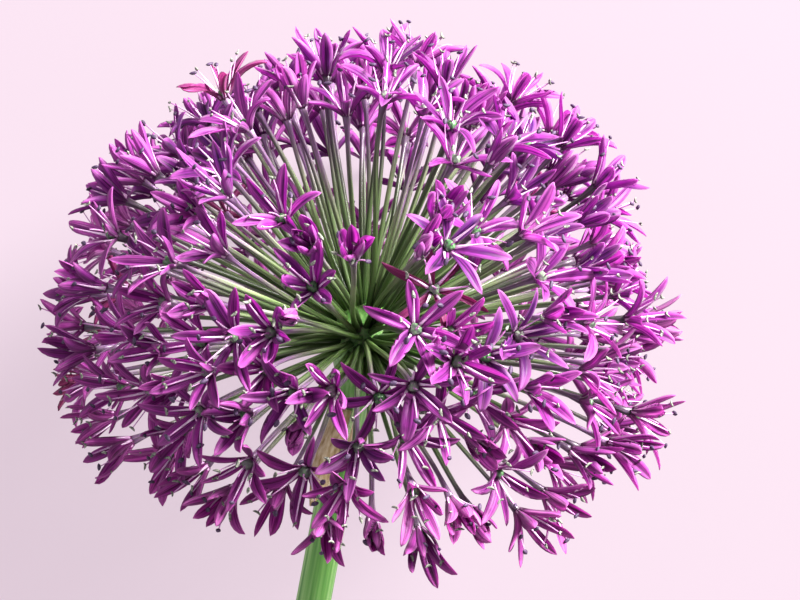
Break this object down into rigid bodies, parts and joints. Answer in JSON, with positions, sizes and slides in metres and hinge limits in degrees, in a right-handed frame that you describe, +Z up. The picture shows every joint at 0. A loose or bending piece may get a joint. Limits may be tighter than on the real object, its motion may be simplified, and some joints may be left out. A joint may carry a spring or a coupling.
{
  "type": "cut allium",
  "caption": "Cut ornamental onion flower lying down: a round head of star-shaped violet florets on thin stalks, at the top of one bare green stem.",
  "frame": {"origin": "centre of the laid flower's bounding box, on the surface that it rests on", "axes": "+Z up; +Y along the flower from its cut end to its head; +X across the head"},
  "size_m": [0.0972, 0.2236, 0.0872],
  "materials": {
    "stem": "fresh waxy green skin, fine lengthwise ridges",
    "petal": "soft violet petal, darker midrib, paler edges and tip",
    "bract": "dry papery cream with fine veins",
    "stalk": "green near the hub, turning violet towards the floret",
    "ovary": "knobbly bright green, slightly glossy",
    "stamen": "pale pink violet, smooth"
  },
  "bodies": {
    "root": {"stem": "stem", "spathe_bract_1": "bract", "spathe_bract_2": "bract", "floret_cluster_01": "petal", "floret_cluster_02": "petal", "floret_cluster_03": "petal", "floret_cluster_04": "petal", "floret_cluster_05": "petal", "floret_cluster_06": "petal", "floret_cluster_07": "petal", "floret_cluster_08": "petal", "floret_cluster_09": "petal", "floret_cluster_10": "petal", "floret_cluster_11": "petal", "floret_cluster_12": "petal", "floret_cluster_13": "petal", "floret_cluster_14": "petal", "floret_cluster_15": "petal", "floret_cluster_16": "petal", "floret_cluster_17": "petal", "floret_cluster_18": "petal", "floret_cluster_19": "petal", "floret_cluster_20": "petal", "floret_cluster_21": "petal", "floret_cluster_22": "petal", "floret_cluster_23": "petal", "floret_cluster_24": "petal", "floret_cluster_25": "petal", "floret_cluster_26": "petal", "floret_cluster_27": "petal", "floret_cluster_28": "petal", "floret_cluster_29": "petal", "floret_cluster_30": "petal", "floret_cluster_31": "petal", "floret_cluster_32": "petal", "floret_cluster_33": "petal", "floret_cluster_34": "petal", "floret_cluster_35": "petal", "floret_cluster_36": "petal", "floret_cluster_37": "petal", "floret_cluster_38": "petal", "floret_cluster_39": "petal", "floret_cluster_40": "petal", "floret_cluster_41": "petal", "floret_cluster_42": "petal", "floret_cluster_43": "petal", "floret_cluster_44": "petal", "floret_cluster_45": "petal", "floret_cluster_46": "petal", "floret_cluster_47": "petal", "floret_cluster_48": "petal", "floret_cluster_49": "petal", "floret_cluster_50": "petal", "floret_cluster_51": "petal", "floret_cluster_52": "petal", "floret_cluster_53": "petal", "floret_cluster_54": "petal", "floret_cluster_55": "petal", "floret_cluster_56": "petal", "floret_cluster_57": "petal"}
  },
  "joints": []
}
